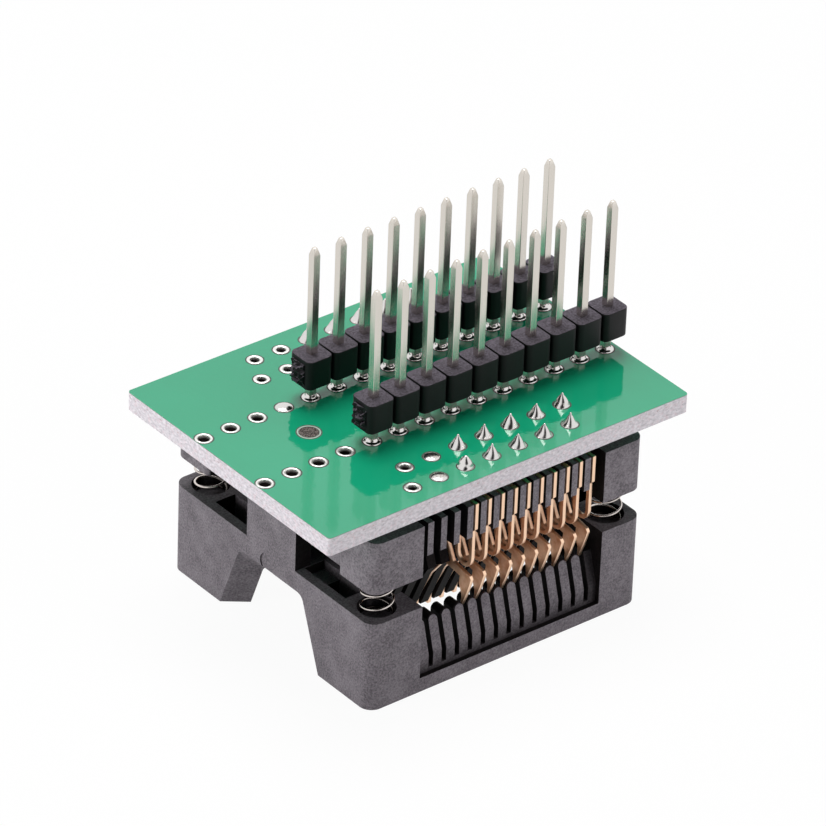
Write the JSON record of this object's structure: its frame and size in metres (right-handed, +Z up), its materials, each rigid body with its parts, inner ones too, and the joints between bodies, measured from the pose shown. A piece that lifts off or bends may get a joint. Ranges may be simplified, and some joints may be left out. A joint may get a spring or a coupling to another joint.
{
  "type": "smd to dip adapter board",
  "caption": "Circuit board adapter: a sprung open-top test socket for small-outline chips on one side, two rows of long header pins with dual-in-line spacing on the other.",
  "frame": {"origin": "on the surface the part rests on, under the middle of its outline", "axes": "+X along the rows of pins towards the populated end, +Y across the rows, +Z up along the pins"},
  "size_m": [0.035, 0.0252, 0.0308],
  "materials": {
    "board": "glass-fibre board under glossy green solder mask",
    "tinned_copper": "tinned copper rim",
    "solder": "bright solder",
    "strip_plastic": "black moulded plastic, satin",
    "tinned_pin": "tin-plated brass wire",
    "gold_contact": "gold-plated beryllium copper sheet",
    "spring_steel": "bright spring steel wire",
    "socket_plastic": "black glass-filled thermoplastic, finely grained"
  },
  "bodies": {
    "adapter": {"circuit_board": "board", "contact_back_01": "gold_contact", "contact_back_02": "gold_contact", "contact_back_03": "gold_contact", "contact_back_04": "gold_contact", "contact_back_05": "gold_contact", "contact_back_06": "gold_contact", "contact_back_07": "gold_contact", "contact_back_08": "gold_contact", "contact_back_09": "gold_contact", "contact_back_10": "gold_contact", "contact_front_01": "gold_contact", "contact_front_02": "gold_contact", "contact_front_03": "gold_contact", "contact_front_04": "gold_contact", "contact_front_05": "gold_contact", "contact_front_06": "gold_contact", "contact_front_07": "gold_contact", "contact_front_08": "gold_contact", "contact_front_09": "gold_contact", "contact_front_10": "gold_contact", "hole_rims": "tinned_copper", "pin_back_01": "tinned_pin", "pin_back_02": "tinned_pin", "pin_back_03": "tinned_pin", "pin_back_04": "tinned_pin", "pin_back_05": "tinned_pin", "pin_back_06": "tinned_pin", "pin_back_07": "tinned_pin", "pin_back_08": "tinned_pin", "pin_back_09": "tinned_pin", "pin_back_10": "tinned_pin", "pin_front_01": "tinned_pin", "pin_front_02": "tinned_pin", "pin_front_03": "tinned_pin", "pin_front_04": "tinned_pin", "pin_front_05": "tinned_pin", "pin_front_06": "tinned_pin", "pin_front_07": "tinned_pin", "pin_front_08": "tinned_pin", "pin_front_09": "tinned_pin", "pin_front_10": "tinned_pin", "pin_joints_back": "solder", "pin_joints_front": "solder", "pin_strip_back": "strip_plastic", "pin_strip_front": "strip_plastic", "socket_base": "socket_plastic", "solder_plugs": "solder", "spring_left_back": "spring_steel", "spring_left_front": "spring_steel", "spring_right_back": "spring_steel", "spring_right_front": "spring_steel", "tail_joints_back": "solder", "tail_joints_front": "solder"},
    "cover": {"socket_cover": "socket_plastic"}
  },
  "joints": [
    {"name": "cover_press", "type": "slide", "parent": "adapter", "child": "cover", "axis": [0, 0, 1], "range_m": [0, 0.0024], "stiffness_N_per_m": 1200, "springref_m": -0.004, "deforming": ["spring_left_back", "spring_left_front", "spring_right_back", "spring_right_front"]}
  ]
}
